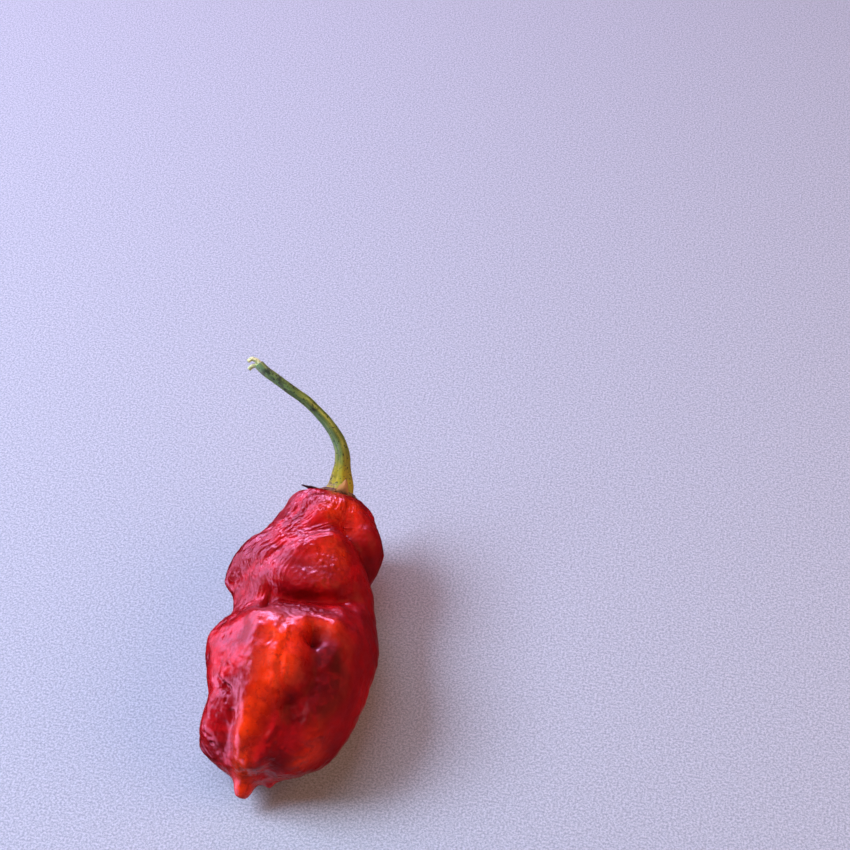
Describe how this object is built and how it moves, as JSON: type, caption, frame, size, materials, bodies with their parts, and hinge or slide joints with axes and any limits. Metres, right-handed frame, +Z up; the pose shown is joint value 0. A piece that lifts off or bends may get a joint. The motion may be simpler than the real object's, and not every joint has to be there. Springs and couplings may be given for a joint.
{
  "type": "chilli pepper",
  "caption": "Ripe wrinkled red chilli pepper with a waist, a pointed tip, a dried calyx and a curved green stem, lying on its side.",
  "frame": {"origin": "middle of the flat spot that the pod rests on", "axes": "+Y from the pod's tip to its stem end, +Z up from the surface it lies on"},
  "size_m": [0.0345, 0.0742, 0.0388],
  "materials": {
    "pod_skin": "waxy and wrinkled, half gloss",
    "calyx": "dry and matt",
    "stem": "satin, with dark speckles"
  },
  "bodies": {
    "root": {"pod": "pod_skin", "calyx": "calyx", "stem": "stem"}
  },
  "joints": []
}
